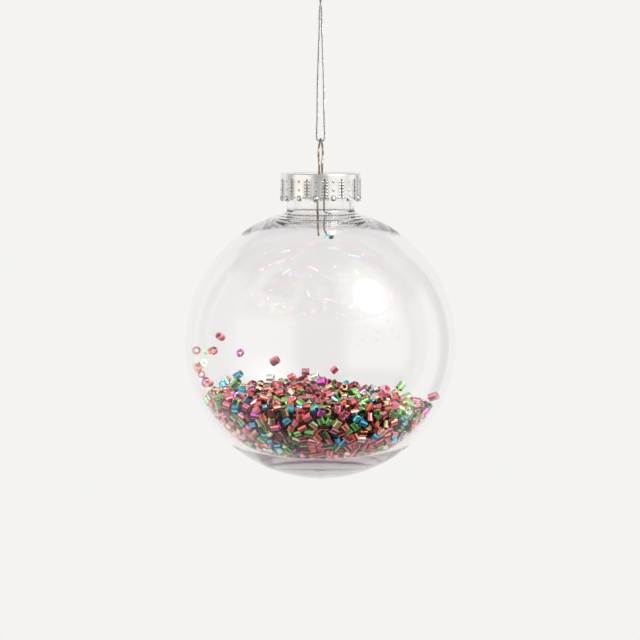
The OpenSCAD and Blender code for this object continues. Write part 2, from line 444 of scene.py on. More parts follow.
def bead_material(name, colour):
    """Metal-lined glass bead: tinted metal under a clear coat, each bead with its own tone,
    painted shade and painted reflection streaks from its vertex colours.
    """
    material, nodes, links, shader = base_material(name)
    # Each bead's tone with its painted shade and painted reflection streaks, from its vertex
    # colours
    tone_and_shade = nodes.new("ShaderNodeAttribute")
    tone_and_shade.attribute_name = "tone_and_shade"
    tint = mix_colours(nodes, links, 1, (*colour, 1), tone_and_shade.outputs["Color"], "MULTIPLY")
    links.new(tint, shader.inputs["Base Color"])
    rough = spread(nodes, links, noise(nodes, links, scale=900), low=0.08, high=0.2)
    links.new(rough, shader.inputs["Roughness"])
    dents = noise(nodes, links, scale=1500)
    bump(nodes, links, shader, dents, distance_m=0.00005, strength=0.25)
    set_values(shader, Metallic=0.95, Coat_Weight=0.8, Coat_Roughness=0.04)
    return material


# Colour of the painted shade round the stamped dots and arcs
CREASE_SHADE_COLOUR = (0.46, 0.45, 0.43, 1)


def cap_material():
    """Bright plated sheet: patchy shine, fine grain, and painted shade round the stamped dots and
    arcs.
    """
    material, nodes, links, shader = base_material("cap_metal")
    patch = noise(nodes, links, scale=160, detail=2)
    colour = ramp(nodes, links, patch, (0.35, (0.80, 0.79, 0.76)), (0.65, (0.92, 0.92, 0.91)))
    # Painted shade round the stamped dots and arcs, from the cap's vertex attribute
    crease_shade = nodes.new("ShaderNodeAttribute")
    crease_shade.attribute_name = "crease_shade"
    shaded_colour = mix_colours(nodes, links, crease_shade.outputs["Fac"], colour, CREASE_SHADE_COLOUR)
    links.new(shaded_colour, shader.inputs["Base Color"])
    wear = noise(nodes, links, scale=700, detail=4)
    links.new(spread(nodes, links, wear, low=0.16, high=0.33), shader.inputs["Roughness"])
    grain = noise(nodes, links, scale=2600, detail=2)
    bump(nodes, links, shader, grain, distance_m=0.00002, strength=0.35)
    set_values(shader, Metallic=1.0)
    return material


def wire_material():
    """Brown steel wire, brighter in places."""
    material, nodes, links, shader = base_material("hanger_wire")
    patch = noise(nodes, links, scale=420)
    colour = ramp(nodes, links, patch, (0.35, (0.16, 0.11, 0.07)), (0.65, (0.46, 0.37, 0.28)))
    links.new(colour, shader.inputs["Base Color"])
    scratch = noise(nodes, links, scale=1800, detail=2)
    links.new(spread(nodes, links, scratch, low=0.12, high=0.28), shader.inputs["Roughness"])
    set_values(shader, Metallic=1.0)
    return material


def cord_material():
    """Metallic yarn: bright foil fibres with darker gaps between them."""
    material, nodes, links, shader = base_material("metallic_cord")
    fibre = noise(nodes, links, scale=3800, detail=2)
    colour = ramp(nodes, links, fibre, (0.38, (0.17, 0.17, 0.17)), (0.52, (0.50, 0.50, 0.50)),
                  (0.66, (0.95, 0.95, 0.94)))
    links.new(colour, shader.inputs["Base Color"])
    links.new(spread(nodes, links, fibre, low=0.45, high=0.2), shader.inputs["Roughness"])
    bump(nodes, links, shader, fibre, distance_m=0.00006, strength=0.8)
    set_values(shader, Metallic=0.9)
    return material


# ---------------------------------------------------------------- glass ball

WALL = 1.0
BASE_R = 46
BASE_WALL = 2.5
BASE_BLEND = 0.25
NECK_R = 9.9
BORE_R = 8.6
BORE_EDGE_R = 0.6
NECK_TOP = 49.5
LIP_R = 1.0
LIP_INSET = 0.1
BLEND_R = 1.3
# The wall grows thicker towards the rounded corner under the bore, from this many degrees up
# from the pole
CORNER_R = 1.7
SHOULDER_FROM = 142
# Fine rings in the glass: height, spacing, and where they start, are full, fade and end,
# measured down the ball from its top
RIPPLE = 0.04
RIPPLE_STEP = 2.1
RIPPLE_SPAN = (10, 11, 13.5, 15.5)
POLE_MARK = 0.35
POLE_MARK_R = 0.6
GLASS_SEGMENTS = 250


def arc(x, z, r, start, end, count):
    """Points on a circle about (x, z), from one angle to another in degrees."""
    turn = np.radians(np.linspace(start, end, count))
    return np.stack([x + r * np.cos(turn), z + r * np.sin(turn)], axis=1)


def cavity_radius(below):
    """Distance from the ball's centre to the inside face, at an angle from straight down."""
    drop = BASE_R - (BALL_R - BASE_WALL)
    base = -drop * np.cos(below) + np.sqrt(BASE_R ** 2 - (drop * np.sin(below)) ** 2)
    side = BALL_R - WALL
    share = np.clip(0.5 + 0.5 * (side - base) / BASE_BLEND, 0, 1)
    return side + (base - side) * share - BASE_BLEND * share * (1 - share)


def glass_outside():
    """Up the ball from its pole, round the hollow below the neck, up the neck, over the lip."""
    hollow_x = NECK_R + BLEND_R
    hollow_z = math.sqrt((BALL_R + BLEND_R) ** 2 - hollow_x ** 2)
    meet = math.degrees(math.atan2(hollow_z, hollow_x))
    angle = np.radians(np.concatenate([np.linspace(-90, -84, 25), np.linspace(-83, meet, 120)]))
    radius = BALL_R + POLE_MARK * np.exp(-(BALL_R * np.cos(angle) / POLE_MARK_R) ** 2)
    ball = np.stack([radius * np.cos(angle), radius * np.sin(angle)], axis=1)
    hollow = arc(hollow_x, hollow_z, BLEND_R, 180 + meet, 180, 10)[1:]
    neck = [(NECK_R, z) for z in np.linspace(hollow_z, NECK_TOP - 2 * LIP_R, 8)[1:]]
    lip = arc(NECK_R - LIP_INSET, NECK_TOP - LIP_R, LIP_R, -80, 90, 18)
    return np.concatenate([ball, hollow, neck, lip])


def glass_inside():
    """Down the bore from the lip, round the corner below it and down to the pole."""
    edge = arc(BORE_R + BORE_EDGE_R, NECK_TOP - BORE_EDGE_R, BORE_EDGE_R, 90, 180, 8)
    corner_x = BORE_R + CORNER_R
    corner_z = math.sqrt(BALL_R ** 2 - corner_x ** 2)
    turn = math.degrees(math.atan2(corner_z, corner_x))
    bore = [(BORE_R, z) for z in np.linspace(NECK_TOP - BORE_EDGE_R, corner_z, 12)[1:-1]]
    corner = arc(corner_x, corner_z, CORNER_R, 180, 180 + turn, 12)
    below = np.radians(np.concatenate([np.linspace(90 + turn, 138, 66),
                                       np.linspace(137, 0, 108)]))[1:]
    shoulder = np.clip((np.degrees(below) - SHOULDER_FROM) / (90 + turn - SHOULDER_FROM), 0, 1)
    shoulder = shoulder ** 2 * (3 - 2 * shoulder)
    from_top = BALL_R * (math.pi - below)
    ripple = RIPPLE * np.cos(2 * math.pi * from_top / RIPPLE_STEP)
    ripple = ripple * np.interp(from_top, RIPPLE_SPAN, (0, 1, 1, 0))
    rise = (CORNER_R - WALL) * shoulder + ripple
    radius = cavity_radius(below) - rise
    cavity = np.stack([radius * np.sin(below), -radius * np.cos(below)], axis=1)
    return np.concatenate([edge, bore, corner, cavity])


def lathe(profile, segments):
    """A closed surface of revolution whose profile starts and ends on the axis."""
    inner = profile[1:-1]
    turn = np.linspace(0, 2 * math.pi, segments, endpoint=False)
    rings = np.stack([np.outer(inner[:, 0], np.cos(turn)), np.outer(inner[:, 0], np.sin(turn)),
                      np.repeat(inner[:, 1:2], segments, axis=1)], axis=2)
    ends = [[0, 0, profile[0][1]], [0, 0, profile[-1][1]]]
    points = np.concatenate([rings.reshape(-1, 3), ends])
    count = len(inner)
    faces = [(i * segments + k, i * segments + (k + 1) % segments,
              (i + 1) * segments + (k + 1) % segments, (i + 1) * segments + k)
             for i in range(count - 1) for k in range(segments)]
    first, last = count * segments, count * segments + 1
    faces += [(first, (k + 1) % segments, k) for k in range(segments)]
    base = (count - 1) * segments
    faces += [(last, base + k, base + (k + 1) % segments) for k in range(segments)]
    return points, faces


def make_glass():
    outline = np.concatenate([glass_outside(), glass_inside()])
    points, faces = lathe(outline, GLASS_SEGMENTS)
    glass = link_mesh("glass_shell", mm(points), faces)
    glass.data.materials.append(glass_material())
    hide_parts("glass_ball")
    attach(glass, "ball")


# ---------------------------------------------------------------- beads

BEAD_COLOURS = {
    "rose": (0.88, 0.15, 0.19),
    "red": (0.90, 0.16, 0.10),
    "green": (0.20, 0.54, 0.14),
    "gold": (0.93, 0.68, 0.32),
    "blue": (0.06, 0.42, 0.66),
    "magenta": (0.50, 0.05, 0.36),
    "silver": (0.85, 0.85, 0.86),
}
BEAD_NAMES = list(BEAD_COLOURS)
# How much of the heap has each colour
BEAD_SHARES = (0.31, 0.17, 0.26, 0.13, 0.08, 0.04, 0.01)
BEAD_R = 1.12
BEAD_SIDES = 10
# Radius, length and hole of a bead, as shares of BEAD_R, of the bead's diameter and of its radius
BEAD_SIZES = (0.94, 1.08)
BEAD_LENGTHS = (0.88, 1.18)
BEAD_HOLES = (0.5, 0.62)
BEAD_RIM = 0.06
CAUGHT_SIZES = (0.62, 0.63)
CAUGHT_LENGTHS = (0.63, 0.64)
BIGGEST_R = BEAD_R * BEAD_SIZES[1]
LONGEST_HALF = BEAD_R * BEAD_LENGTHS[1]
# The heap: a shallow dome over DOME_X, with humps
HEAP_TOP = -13.1
DOME_R = 120
DOME_X = -6.6
HUMP = 0.75
HEAP_SPACING = 2.3
LAYER_STEP = HEAP_SPACING * 0.82
HEAP_JITTER = 0.8
JUTTING_SHARE = 0.3
TOP_JUTS = (0.3, 1.0)
TOP_LAYER = 1.6
NEIGHBOUR_REACH = 3.1
# The beads against the glass, which the heap carries with it as it turns SLOSH degrees each way
GLASS_GAP = 0.08
SLOSH = 30
WALL_GAP = 0.1
WALL_SPACING = 2.8
WALL_TRIES = 6000
WALL_ROUNDS = 4
HIGHEST_TRY = -0.3
# Beads this near the axis and below these heights are seen through the thick base
POLE_REACH = 9
BASE_REACH = 14
BASE_BEADS_Z = -28
LOWEST_BEADS_Z = -32
# Brightness of a bead: by chance, painted light when lying alone, painted shade deep in the heap
# and on ends in the heap, pale ones, and lining streaks that are partly painted reflection
BEAD_TONES = (0.75, 1.95)
ALONE_LIT_TONES = (1.3, 1.7)
DEEP_SHADE = 0.1
PALE_TONE = 0.9
PALE_SHARE = 0.2
END_SHADE = 0.4
LINING_AND_REFLECTION = (0.1, 0.45, 1.1, 1.4, 1.7)


def heap_surface(x, y):
    """Height of the heap's top: a shallow dome with low humps."""
    humps = np.sin(0.42 * x + 0.8) * np.cos(0.37 * y - 0.5) + 0.6 * np.sin(0.9 * x + 0.7 * y)
    return HEAP_TOP + HUMP * humps - ((x - DOME_X) ** 2 + y ** 2) / (2 * DOME_R)


def cavity_limit(p):
    """How far out a point may go in its direction and clear the glass as the beads slosh."""
    out = unit(p)
    limit = np.full(len(p), BALL_R)
    for turn in np.radians(np.arange(-SLOSH, SLOSH + 1, SLOSH / 4)):
        height = out[:, 2] * math.cos(turn) - out[:, 0] * math.sin(turn)
        limit = np.minimum(limit, cavity_radius(np.arccos(np.clip(-height, -1, 1))))
    return limit


def clear_of_glass(p, axes):
    """Beads moved inwards, if need be, until no corner of them reaches the glass."""
    distance = np.linalg.norm(p, axis=1)
    end_on = np.abs((axes * p).sum(1)) / distance
    reach = BIGGEST_R * np.sqrt(1 - np.clip(end_on, 0, 1) ** 2) + LONGEST_HALF * end_on
    limit = cavity_limit(p) - reach - GLASS_GAP
    return p * np.minimum(1, limit / distance)[:, None]


def near_pairs(p, reach):
    """Index pairs of points closer than reach, from a grid of cells."""
    cell = np.floor(p / reach).astype(np.int64)
    cell -= cell.min(0) - 1
    size = cell.max(0) + 2
    key = (cell[:, 0] * size[1] + cell[:, 1]) * size[2] + cell[:, 2]
    order = np.argsort(key, kind="stable")
    ordered = key[order]
    found_i, found_j = [], []
    for dx in (-1, 0, 1):
        for dy in (-1, 0, 1):
            for dz in (-1, 0, 1):
                other = key + (dx * size[1] + dy) * size[2] + dz
                low = np.searchsorted(ordered, other, "left")
                high = np.searchsorted(ordered, other, "right")
                for k in range(int((high - low).max(initial=0))):
                    i = np.nonzero(low + k < high)[0]
                    j = order[low[i] + k]
                    keep = i < j
                    i, j = i[keep], j[keep]
                    close = np.linalg.norm(p[i] - p[j], axis=1) < reach
                    found_i.append(i[close])
                    found_j.append(j[close])
    return np.concatenate(found_i), np.concatenate(found_j)


def spaced(p, gap, keep):
    """The points without those that crowd their neighbours; earlier ones win, keep are kept."""
    i, j = near_pairs(p, gap)
    drop = np.zeros(len(p), bool)
    neighbours = {}
    for a, b in zip(i, j):
        neighbours.setdefault(a, []).append(b)
        neighbours.setdefault(b, []).append(a)
    for k in range(len(p)):
        if not drop[k]:
            for other in neighbours.get(k, ()):
                if other > k and other >= keep:
                    drop[other] = True
    return p[~drop]


def settle(p, reach, fixed, rounds, hold):
    """Push points apart to reach; the first ones stay where they are and hold limits the rest."""
    for _ in range(rounds):
        i, j = near_pairs(p, reach)
        apart = p[i] - p[j]
        distance = np.maximum(np.linalg.norm(apart, axis=1, keepdims=True), 1e-6)
        shove = apart / distance * (reach - distance) * 0.3
        move = np.zeros_like(p)
        np.add.at(move, i, shove)
        np.add.at(move, j, -shove)
        move[:fixed] = 0
        p = hold(p + move, fixed)
    return p


def on_wall(p, fixed=0):
    """Points drawn onto the layer of beads that lies against the glass, below the heap's rim."""
    reach = cavity_limit(p) - BEAD_R - WALL_GAP
    q = p * (reach / np.linalg.norm(p, axis=1))[:, None]
    high = np.clip(q[:, 2] - heap_surface(q[:, 0], q[:, 1]) + BEAD_R * 0.4, 0, None)
    q[:, 2] -= high
    return q


def inside_heap(p, fixed):
    """Points kept under the heap's top and one bead in from those against the glass."""
    q = p.copy()
    free = q[fixed:]
    radius = np.linalg.norm(free, axis=1)
    limit = cavity_limit(free) - BEAD_R - WALL_GAP
    free = free * (np.minimum(radius, limit) / radius)[:, None]
    high = free[:, 2] - heap_surface(free[:, 0], free[:, 1])
    free[:, 2] -= np.clip(high, 0, 0.3)
    q[fixed:] = free
    return q


def beads_on_glass():
    """Centres of the layer of beads that lies against the glass."""
    wall = np.zeros((0, 3))
    for _ in range(WALL_ROUNDS):
        z = RNG.uniform(-1, HIGHEST_TRY, WALL_TRIES)
        turn = RNG.uniform(0, 2 * math.pi, WALL_TRIES)
        flat = np.sqrt(1 - z ** 2)
        more = np.stack([flat * np.cos(turn), flat * np.sin(turn), z], axis=1) * BALL_R
        wall = spaced(on_wall(np.concatenate([wall, more])), WALL_SPACING * 0.8, 0)
        wall = settle(wall, WALL_SPACING, 0, 40, on_wall)
    return spaced(wall, WALL_SPACING * 0.82, 0)


def beads_within():
    """Starting places behind that layer and on top, no deeper than the eye can reach."""
    span = np.arange(-40, 41, HEAP_SPACING)
    layers = np.arange(-40, -6, LAYER_STEP)
    grid = np.stack(np.meshgrid(span, span, layers, indexing="ij"), -1).reshape(-1, 3)
    row = np.round(grid[:, 2] / LAYER_STEP).astype(int) % 2
    grid = grid + row[:, None] * HEAP_SPACING * 0.5 * np.array([1, 1, 0])
    grid = grid + RNG.uniform(-HEAP_JITTER, HEAP_JITTER, grid.shape)
    depth = heap_surface(grid[:, 0], grid[:, 1]) - grid[:, 2]
    slack = cavity_limit(grid) - np.linalg.norm(grid, axis=1)
    return grid[(depth > -0.6) & (slack > 2.6) & ((depth < 5.5) | (slack < 6.5))]


def pack_heap():
    """Bead centres, those against the glass first, and how many of these there are."""
    wall = beads_on_glass()
    points = np.concatenate([wall, beads_within()])
    points = settle(points, 2 * BEAD_R + 0.1, len(wall), 50, inside_heap)
    points = spaced(points, 2 * BEAD_R * 0.86, len(wall))
    juts = heap_surface(points[:, 0], points[:, 1]) - points[:, 2] < 0.8
    juts &= (np.arange(len(points)) >= len(wall)) & (RNG.random(len(points)) < JUTTING_SHARE)
    points[juts, 2] += RNG.uniform(*TOP_JUTS, juts.sum())
    return points, len(wall)


def neighbours_turn(p, u, v):
    """The angle in each bead's own plane at which it lies square to its neighbours."""
    i, j = near_pairs(p, NEIGHBOUR_REACH)
    lean = np.zeros(len(p), complex)
    for a, b in ((i, j), (j, i)):
        toward = p[b] - p[a]
        angle = np.arctan2((toward * v[a]).sum(1), (toward * u[a]).sum(1))
        weight = np.clip(NEIGHBOUR_REACH - np.linalg.norm(toward, axis=1), 0, None)
        np.add.at(lean, a, weight * np.exp(4j * angle))
    return np.angle(lean) / 4


def bead_axes(p, walled):
    """Beads against the glass and on the heap lie flat, side by side; the others as they fell."""
    out = unit(p)
    depth = heap_surface(p[:, 0], p[:, 1]) - p[:, 2]
    on_glass = np.arange(len(p)) < walled
    on_top = (depth < TOP_LAYER) & ~on_glass
    out[on_top] = (0, 0, 1)
    free = unit(RNG.normal(size=p.shape))
    u = unit(np.cross(out, free))
    v = np.cross(out, u)
    turn = neighbours_turn(p, u, v) + RNG.integers(0, 2, len(p)) * math.pi / 2
    turn = turn + RNG.normal(0, 0.16, len(p))
    flat = np.cos(turn)[:, None] * u + np.sin(turn)[:, None] * v
    sway = np.where(on_glass, 0.1, 0.45)[:, None]
    lying = unit(flat + sway * RNG.normal(size=p.shape))
    lies_flat = on_glass & (RNG.random(len(p)) < 0.93)
    lies_flat |= on_top & (RNG.random(len(p)) < 0.8)
    return np.where(lies_flat[:, None], lying, free)


def bead_ring(radius, length, hole):
    """Outline of a short tube bead with softened rims, as (distance from axis, along axis)."""
    soft = BEAD_RIM * radius
    half = length / 2
    return np.array([(radius, -half + soft), (radius, half - soft), (radius - soft, half),
                     (hole, half), (hole, -half), (radius - soft, -half)])


def depth_in_heap(p):
    """How deep a bead lies behind the ones that touch the glass or lie on top, which sets its
    painted shade; near the base the depth counts for less, so those beads get less painted shade.
    """
    wall = cavity_limit(p) - np.linalg.norm(p, axis=1) - BEAD_R - WALL_GAP
    depth = np.clip(np.minimum(wall, heap_surface(p[:, 0], p[:, 1]) - p[:, 2]), 0, None)
    on_base = (np.hypot(p[:, 0], p[:, 1]) < BASE_REACH) & (p[:, 2] < BASE_BEADS_Z)
    return np.where(on_base, depth * 0.3, depth)


def bead_tones_and_shade(centres, alone):
    """Brightness and tint of each bead, with painted shade on the deeper ones; those lying alone
    are painted brighter, as if in full light.
    """
    count = len(centres)
    depth = depth_in_heap(centres)
    # Painted shade: beads deeper behind the outer ones are darkened, as if shaded by them
    shades = RNG.uniform(*BEAD_TONES, count) * np.interp(depth, (0.4, 1.6), (1, DEEP_SHADE))
    # Painted light: beads lying alone get brighter tones, as if in full light
    shades[alone] = RNG.uniform(*ALONE_LIT_TONES, alone.sum())
    tint = 1 + RNG.normal(0, 0.05, (count, 3))
    pale = (RNG.random(count) < PALE_SHARE) & (depth <= 0.8)
    return shades[:, None] * tint + np.where(pale, PALE_TONE, 0)[:, None]


def bead_mesh(name, points_m, faces):
    """A mesh of four-sided faces, smooth but for the beads' rims."""
    mesh = bpy.data.meshes.new(name)
    mesh.vertices.add(len(points_m))
    mesh.vertices.foreach_set("co", points_m.ravel())
    mesh.loops.add(faces.size)
    mesh.loops.foreach_set("vertex_index", faces.ravel().astype(np.int32))
    mesh.polygons.add(len(faces))
    mesh.polygons.foreach_set("loop_start", np.arange(0, faces.size, 4, dtype=np.int32))
    mesh.update(calc_edges=True)
    mesh.validate()
    mesh.polygons.foreach_set("use_smooth", [True] * len(mesh.polygons))
    mesh.set_sharp_from_angle(angle=math.radians(40))
    return mesh


def bead_faces(count):
    """Faces of that many tube beads, each a closed ring of rows."""
    rows = len(bead_ring(1, 1, 1))
    one = np.array([(r * BEAD_SIDES + k, r * BEAD_SIDES + (k + 1) % BEAD_SIDES,
                     (r + 1) % rows * BEAD_SIDES + (k + 1) % BEAD_SIDES,
                     (r + 1) % rows * BEAD_SIDES + k)
                    for r in range(rows) for k in range(BEAD_SIDES)])
    each = rows * BEAD_SIDES
    return (one[None, :, ::-1] + np.arange(count)[:, None, None] * each).reshape(-1, 4)


def bead_piece(name, centres, axes, material, apart, sizes=BEAD_SIZES, lengths=BEAD_LENGTHS):
    """Many tube beads of one colour as one mesh, each with its own tone, painted shade, and
    streaks that are partly its lining and partly painted reflection.

    The last ones, as many as apart says, lie alone.
    """
    count = len(centres)
    alone = np.arange(count) >= count - apart
    turn = np.linspace(0, 2 * math.pi, BEAD_SIDES, endpoint=False)
    side = unit(np.cross(axes, unit(RNG.normal(size=axes.shape))))
    third = np.cross(axes, side)
    bead_shade_tone = bead_tones_and_shade(centres, alone)
    points, vertex_shade_tones = [], []
    for b in range(count):
        radius = BEAD_R * RNG.uniform(*sizes)
        length = 2 * BEAD_R * RNG.uniform(*lengths)
        ring = bead_ring(radius, length, radius * RNG.uniform(*BEAD_HOLES))
        around = np.cos(turn)[:, None] * side[b] + np.sin(turn)[:, None] * third[b]
        shape = ring[:, None, :1] * around[None] + ring[:, None, 1:] * axes[b]
        points.append((shape + centres[b]).reshape(-1, 3))
        # Streaks round the bead, partly its own lining and partly painted reflection, some
        # brighter than its colour
        lining_and_reflection = RNG.choice(LINING_AND_REFLECTION, size=BEAD_SIDES)
        # Painted shade on the ends of beads in the heap; beads lying alone keep bright ends
        end = 1 if alone[b] else END_SHADE
        rows = np.outer((1, 1, end, end, end, end), lining_and_reflection)
        vertex_shade_tones.append(rows.reshape(-1, 1) * bead_shade_tone[b])
    mesh = bead_mesh(name, mm(np.concatenate(points)), bead_faces(count))
    # Vertex colours holding each bead's tone, painted shade and painted reflection streaks
    tone_and_shade = mesh.color_attributes.new("tone_and_shade", "FLOAT_COLOR", "POINT")
    colours = np.ones((len(mesh.vertices), 4), np.float32)
    colours[:, :3] = np.concatenate(vertex_shade_tones)
    tone_and_shade.data.foreach_set("color", colours.ravel())
    mesh.materials.append(material)
    return add_object(name, mesh)


def connected(work):
    """The vertices of each separate body in a mesh, always in the same order."""
    seen = set()
    for first in work.verts:
        if first in seen:
            continue
        seen.add(first)
        stack, island = [first], []
        while stack:
            vertex = stack.pop()
            island.append(vertex)
            fresh = [edge.other_vert(vertex) for edge in vertex.link_edges]
            fresh = [other for other in fresh if other not in seen]
            seen.update(fresh)
            stack += fresh
        yield island


def cad_beads(node):
    """Centre and axis of each bead in a CAD node, in millimetres from the ball's centre."""
    work = bmesh.new()
    work.from_mesh(frame["nodes"][node].data)
    bmesh.ops.remove_doubles(work, verts=work.verts, dist=1e-6)
    found = []
    for island in connected(work):
        co = (np.array([v.co for v in island]) - CENTRE_M) * 1000
        centre = (co.min(0) + co.max(0)) / 2
        longest_way = np.linalg.eigh(np.cov((co - centre).T))[1][:, 2]
        found.append((centre, longest_way))
    work.free()
    found.sort(key=lambda bead: tuple(np.round(bead[0], 3)))
    return np.array([f[0] for f in found]), np.array([f[1] for f in found])


def heap_colours(centres):
    """Each bead's colour, as an index into BEAD_NAMES."""
    colour = RNG.choice(len(BEAD_NAMES), size=len(centres), p=BEAD_SHARES)
    # The thick base smears the lowest beads into a line, which is reddish
    away = np.hypot(centres[:, 0], centres[:, 1])
    magenta = colour == BEAD_NAMES.index("magenta")
    low = (away < POLE_REACH) | ((away < BASE_REACH) & magenta)
    colour[low & (centres[:, 2] < LOWEST_BEADS_Z)] = BEAD_NAMES.index("rose")
    return colour


def make_beads():
    centres, walled = pack_heap()
    axes = bead_axes(centres, walled)
    centres = clear_of_glass(centres, axes)
    colour = heap_colours(centres)
    materials = {name: bead_material(f"bead_{name}", BEAD_COLOURS[name]) for name in BEAD_NAMES}
    for k, name in enumerate(BEAD_NAMES):
        loose, loose_axes = cad_beads(f"loose_beads_{name}")
        loose = clear_of_glass(loose, loose_axes)
        some = colour == k
        piece = bead_piece(f"beads_{name}", np.concatenate([centres[some], loose]),
                           np.concatenate([axes[some], loose_axes]), materials[name], len(loose))
        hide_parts(f"loose_beads_{name}", "bead_heap")
        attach(piece, "beads")
    for name in ("blue", "green"):
        node = f"wire_bead_{name}"
        at, axis = cad_beads(node)
        piece = bead_piece(f"caught_{node}", at, axis, materials[name], len(at),
                           CAUGHT_SIZES, CAUGHT_LENGTHS)
        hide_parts(node)
        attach(piece, "hanger")


# ---------------------------------------------------------------- cap

CAP_R = 11.75
SHEET = 0.4
TABS = 14
PITCH = 2 * math.pi / TABS
SLIT_TURN = 5.7
SLIT_W = 0.5
SLIT_TOP = 48.7
CAP_TOP = 50.2
RIM_R = 0.45
WIRE_HOLE_R = 0.55
HOLE_OUT = 2.8
# The grooved top: distance in from the edge or out from the middle, and drop below the rim
TOP_GROOVE = ((0.75, 0.02), (1.1, 0.16), (1.7, 0.22), (2.4, 0.2), (3.0, 0.08), (3.6, 0.02),
              (4.3, 0.02))
TOP_MIDDLE = ((6.2, 0.05), (4.8, 0.12), (3.4, 0.14), (2.0, 0.1), (0.9, 0.04))
TOP_CENTRE_DROP = 0.02
FLUTE = 0.05
FLUTES_WITHIN = 3.5
# Round lobes of a tab's lower edge: place across the tab, radius, height of the centre
LOBES = ((0, 1.0, 42.85), (-1.56, 0.72, 43.1), (1.56, 0.72, 43.1))
TAB_BOTTOM = 43.2
ROWS = [47.9 - 0.92 * k for k in range(6)]
# Stamped dots: place across the tab, height, radius, how far they stand out
DOTS = [(0, 42.95, 0.62, 0.34), (0, 45.5, 0.3, 0.17), (0, 48.0, 0.3, 0.17),
        (-1.5, 43.25, 0.24, 0.1), (1.5, 43.25, 0.24, 0.1)]
DOTS += [(side * 2.0, z, 0.2, 0.13) for side in (-1, 1) for z in ROWS]
# Stamped arcs: place across the tab, height, radius, half width, how far they stand out
RINGS = [(0, 42.95, 0.78, 0.14, -0.08)]
RINGS += [(side * 2.45, z, 0.98, 0.13, 0.05) for side in (-1, 1) for z in ROWS]
TAB_COLUMNS = 46
TAB_ROWS = 46


def edge_height(across):
    """Lower edge of a tab: three round lobes side by side."""
    height = np.full_like(across, TAB_BOTTOM)
    for middle, r, z in LOBES:
        inside = np.clip(r ** 2 - (across - middle) ** 2, 0, None)
        height = np.where(inside > 0, np.minimum(height, z - np.sqrt(inside)), height)
    return height


def pressed(across, z):
    """How far the stamped pattern stands out at a place on a tab, and how much painted shade it
    has there.
    """
    out, painted_shade = np.zeros_like(across), np.zeros_like(across)
    # Painted shade: the sheet darkens round each dot's edge and beside each arc
    for x0, z0, r, h in DOTS:
        away = np.hypot(across - x0, z - z0) / r
        out = out + h * np.clip(1 - away ** 2, 0, None) ** 0.5
        painted_shade = np.maximum(painted_shade, np.interp(away, (0.45, 0.8, 1.2, 1.5), (0, 1, 1, 0)))
    for x0, z0, r, width, h in RINGS:
        away = np.abs(np.hypot(across - x0, z - z0) - r) / width
        out = out + h * np.clip(1 - away ** 2, 0, None)
        painted_shade = np.maximum(painted_shade, 0.55 * np.interp(away, (0.9, 1.4, 2.0), (0, 1, 0)))
    return out, painted_shade


def cap_outline():
    """From the top of the slits up over the rim and in along the top, as (radius, height)."""
    skirt = [(CAP_R, z) for z in np.linspace(SLIT_TOP, CAP_TOP - RIM_R, 6)]
    rim = [tuple(p) for p in arc(CAP_R - RIM_R, CAP_TOP - RIM_R, RIM_R, 0, 90, 9)[1:]]
    groove = [(CAP_R - inwards, CAP_TOP - drop) for inwards, drop in TOP_GROOVE]
    middle = [(radius, CAP_TOP - drop) for radius, drop in TOP_MIDDLE]
    return skirt + rim + groove + middle


def on_cap(tab, turn, radius, z):
    """A point at an angle from the middle of one of the tabs."""
    turn += math.radians(SLIT_TURN) + (tab + 0.5) * PITCH
    return (radius * math.sin(turn), -radius * math.cos(turn), z)


def cap_above_slits(columns):
    """Points and faces of the cap above its slits, all the way round; the lowest ring first."""
    outline = cap_outline()
    points = []
    for radius, z in outline:
        fluted = FLUTES_WITHIN < radius < CAP_R - FLUTES_WITHIN
        for tab in range(TABS):
            for turn in columns:
                flute = FLUTE * math.cos(turn / PITCH * 4 * math.pi) if fluted else 0
                points.append(on_cap(tab, turn, radius, z + flute))
    total = len(columns) * TABS
    faces = [(a + k, a + (k + 1) % total, a + total + (k + 1) % total, a + total + k)
             for a in range(0, total * (len(outline) - 1), total) for k in range(total)]
    inmost, centre = total * (len(outline) - 1), len(points)
    points.append((0, 0, CAP_TOP - TOP_CENTRE_DROP))
    faces += [(inmost + k, inmost + (k + 1) % total, centre) for k in range(total)]
    return points, faces


def add_tab(tab, columns, points, faces, crease_shade):
    """One stamped tab, row by row down from the lowest ring."""
    across = columns * CAP_R
    low = edge_height(across)
    above = [tab * len(columns) + k for k in range(len(columns))]
    for row in range(1, TAB_ROWS + 1):
        z = SLIT_TOP + (low - SLIT_TOP) * row / TAB_ROWS
        edge_fade = np.clip((SLIT_TOP - z) / 0.3, 0, 1)
        out, painted_shade = pressed(across, z)
        here = [len(points) + k for k in range(len(columns))]
        points.extend(on_cap(tab, turn, radius, height)
                      for turn, radius, height in zip(columns, CAP_R + out * edge_fade, z))
        faces.extend((here[k], here[k + 1], above[k + 1], above[k])
                     for k in range(len(columns) - 1))
        crease_shade.extend(painted_shade)
        above = here


def make_cap():
    half_tab = PITCH / 2 - SLIT_W / 2 / CAP_R
    columns = np.linspace(-half_tab, half_tab, TAB_COLUMNS + 1)
    points, faces = cap_above_slits(columns)
    # Painted shade of each point, none above the slits
    crease_shade = [0] * len(points)
    for tab in range(TABS):
        add_tab(tab, columns, points, faces, crease_shade)
    cap = link_mesh("stamped_cap", mm(points), faces)
    shade_attribute = cap.data.attributes.new("crease_shade", "FLOAT", "POINT")
    shade_attribute.data.foreach_set("value", crease_shade)
    thick = cap.modifiers.new("sheet", "SOLIDIFY")
    thick.thickness = SHEET / 1000
    thick.offset = -1
    thick.use_even_offset = False
    cut_wire_holes(cap)
    cap.data.materials.append(cap_material())
    cap.data.set_sharp_from_angle(angle=math.radians(55))
    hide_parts("cap")
    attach(cap, "cap")


